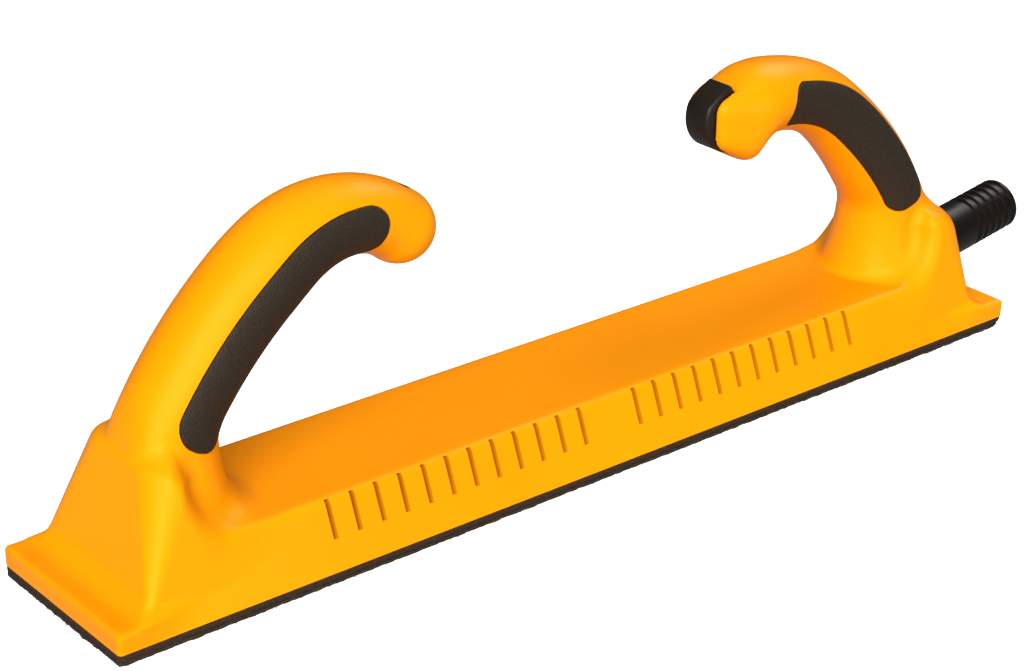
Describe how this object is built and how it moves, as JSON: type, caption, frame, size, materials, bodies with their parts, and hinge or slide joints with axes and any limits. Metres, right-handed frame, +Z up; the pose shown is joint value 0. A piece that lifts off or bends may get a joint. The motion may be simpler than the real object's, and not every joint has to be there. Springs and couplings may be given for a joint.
{
  "type": "hand sanding block",
  "caption": "Long narrow dust-extracting hand sanding block with hooked handles, hook-and-loop sole with dust holes, swivelling hose spigot and thumb suction regulator.",
  "frame": {"origin": "centre of the sanding face, on the face that meets the work", "axes": "+X along the length toward the hose spigot, +Y across, +Z up through the handles"},
  "size_m": [0.4374, 0.07, 0.123],
  "materials": {
    "yellow_plastic": "satin moulded",
    "grip_rubber": "fine pebbled",
    "black_plastic": "satin moulded",
    "plate_plastic": "plain moulded",
    "seal_rubber": "smooth",
    "foam_rubber": "closed-cell foam",
    "hook_fabric": "fibrous hook pile",
    "steel": "plain",
    "brass": "plain"
  },
  "bodies": {
    "block": {"housing": "yellow_plastic", "front_handle": "yellow_plastic", "rear_handle": "yellow_plastic", "front_grip_near": "grip_rubber", "front_grip_far": "grip_rubber", "rear_grip_near": "grip_rubber", "rear_grip_far": "grip_rubber", "front_tip_plug": "black_plastic", "base_plate": "plate_plastic", "base_gasket": "seal_rubber", "foam_pad": "foam_rubber", "hook_face": "hook_fabric", "base_screws": "steel", "front_handle_screws": "steel", "rear_handle_screws": "steel", "front_handle_inserts": "brass", "rear_handle_inserts": "brass", "front_handle_seal": "seal_rubber", "rear_handle_seal": "seal_rubber", "port_bush": "black_plastic", "regulator_pin": "steel", "regulator_washers": "steel"},
    "swivel": {"hose_spigot": "black_plastic", "spigot_seal": "seal_rubber", "spigot_clip": "steel"},
    "regulator": {"regulator_drum": "black_plastic"}
  },
  "joints": [
    {"name": "hose_swivel", "type": "hinge", "parent": "block", "child": "swivel", "pos_m": [0.187, 0, 0.0246], "axis": [0.9877, 0, 0.1564], "continuous": true},
    {"name": "regulator_turn", "type": "hinge", "parent": "block", "child": "regulator", "pos_m": [0.07497, 0, 0.10545], "axis": [0, 1, 0], "range_deg": [-20, 8]}
  ]
}
